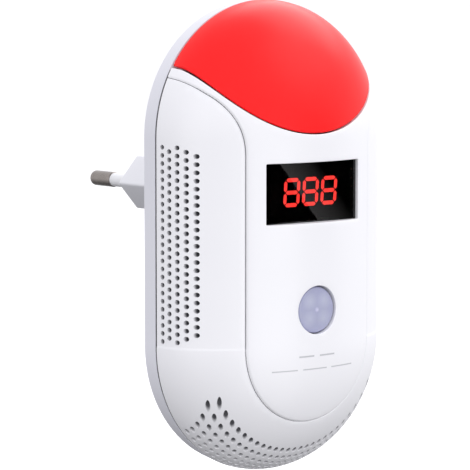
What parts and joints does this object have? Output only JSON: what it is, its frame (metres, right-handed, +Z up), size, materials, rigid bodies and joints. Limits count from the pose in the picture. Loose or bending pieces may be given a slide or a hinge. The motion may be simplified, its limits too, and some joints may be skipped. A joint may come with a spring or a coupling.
{
  "type": "carbon monoxide detector",
  "caption": "Plug-in carbon monoxide alarm with a domed white case, red beacon lens, digital readout, vented sides and a round test button.",
  "frame": {"origin": "centre of the housing's flat back, which faces the wall", "axes": "+X to the right seen from the front, +Y back towards the wall and along the plug pins, +Z up"},
  "size_m": [0.068, 0.0818, 0.1196],
  "materials": {
    "white_shell": "fine satin moulded ABS, cool white",
    "rear_shell": "satin moulded ABS, slightly greyer white",
    "red_lens": "translucent red polycarbonate, glossy outside",
    "window_glass": "smoke-black glossy acrylic",
    "module_black": "matt black display face",
    "segment_red": "lit red segments",
    "button_tint": "translucent lavender-blue plastic",
    "spring_steel": "drawn spring wire",
    "black_plastic": "matt black nylon",
    "led_clear": "clear epoxy",
    "circuit_board": "green solder mask over glass-fibre laminate",
    "chip_black": "moulded epoxy",
    "chip_ceramic": "ceramic body with tinned ends",
    "tinned_pins": "tinned brass",
    "steel_can": "drawn stainless can",
    "steel_mesh": "woven stainless gauze",
    "white_ceramic": "sintered ceramic",
    "brass_part": "rolled brass",
    "ferrite": "sintered ferrite",
    "bobbin_plastic": "natural nylon",
    "winding_tape": "yellow polyester tape over copper",
    "can_sleeve": "shrink sleeve over aluminium",
    "varistor_blue": "epoxy coating",
    "fuse_grey": "lacquered body",
    "reflector_white": "glossy white",
    "ribbon_film": "polyimide film",
    "plug_white": "satin moulded plastic",
    "pin_nickel": "nickel-plated brass, polished",
    "sleeve_white": "moulded insulating sleeve",
    "screw_steel": "zinc-plated steel",
    "filter_felt": "thin non-woven dust filter",
    "label_film": "blank silver-grey film"
  },
  "bodies": {
    "housing": {"rear_cover": "rear_shell", "front_cover": "white_shell", "alarm_lens": "red_lens", "display_window": "window_glass", "display_module": "module_black", "display_segments": "segment_red", "display_pins": "tinned_pins", "button_spring": "spring_steel", "switch_body": "black_plastic", "status_leds": "led_clear", "main_board": "circuit_board", "main_chip": "chip_black", "chip_parts": "chip_ceramic", "sensor_base": "black_plastic", "sensor_can": "steel_can", "sensor_mesh": "steel_mesh", "sensor_element": "white_ceramic", "sensor_pins": "tinned_pins", "sounder_case": "black_plastic", "sounder_disc": "brass_part", "link_header": "black_plastic", "power_board": "circuit_board", "transformer_core": "ferrite", "transformer_bobbin": "bobbin_plastic", "transformer_winding": "winding_tape", "capacitors": "can_sleeve", "varistor": "varistor_blue", "fuse": "fuse_grey", "rectifier": "chip_black", "pin_terminals": "brass_part", "beacon_board": "circuit_board", "beacon_leds": "led_clear", "beacon_reflector": "reflector_white", "beacon_ribbon": "ribbon_film", "plug_block": "plug_white", "pin_carrier": "plug_white", "plug_pin_left": "pin_nickel", "plug_pin_right": "pin_nickel", "pin_sleeve_left": "sleeve_white", "pin_sleeve_right": "sleeve_white", "cover_screws": "screw_steel", "board_screws": "screw_steel", "chassis_screws": "screw_steel", "side_filter_left": "filter_felt", "side_filter_right": "filter_felt", "bottom_filter": "filter_felt", "rating_label": "label_film"},
    "button": {"test_button": "button_tint", "switch_plunger": "black_plastic"}
  },
  "joints": [
    {"name": "button_press", "type": "slide", "parent": "housing", "child": "button", "axis": [0, 1, 0], "range_m": [0, 0.001], "stiffness_N_per_m": 600, "deforming": ["button_spring"]}
  ]
}
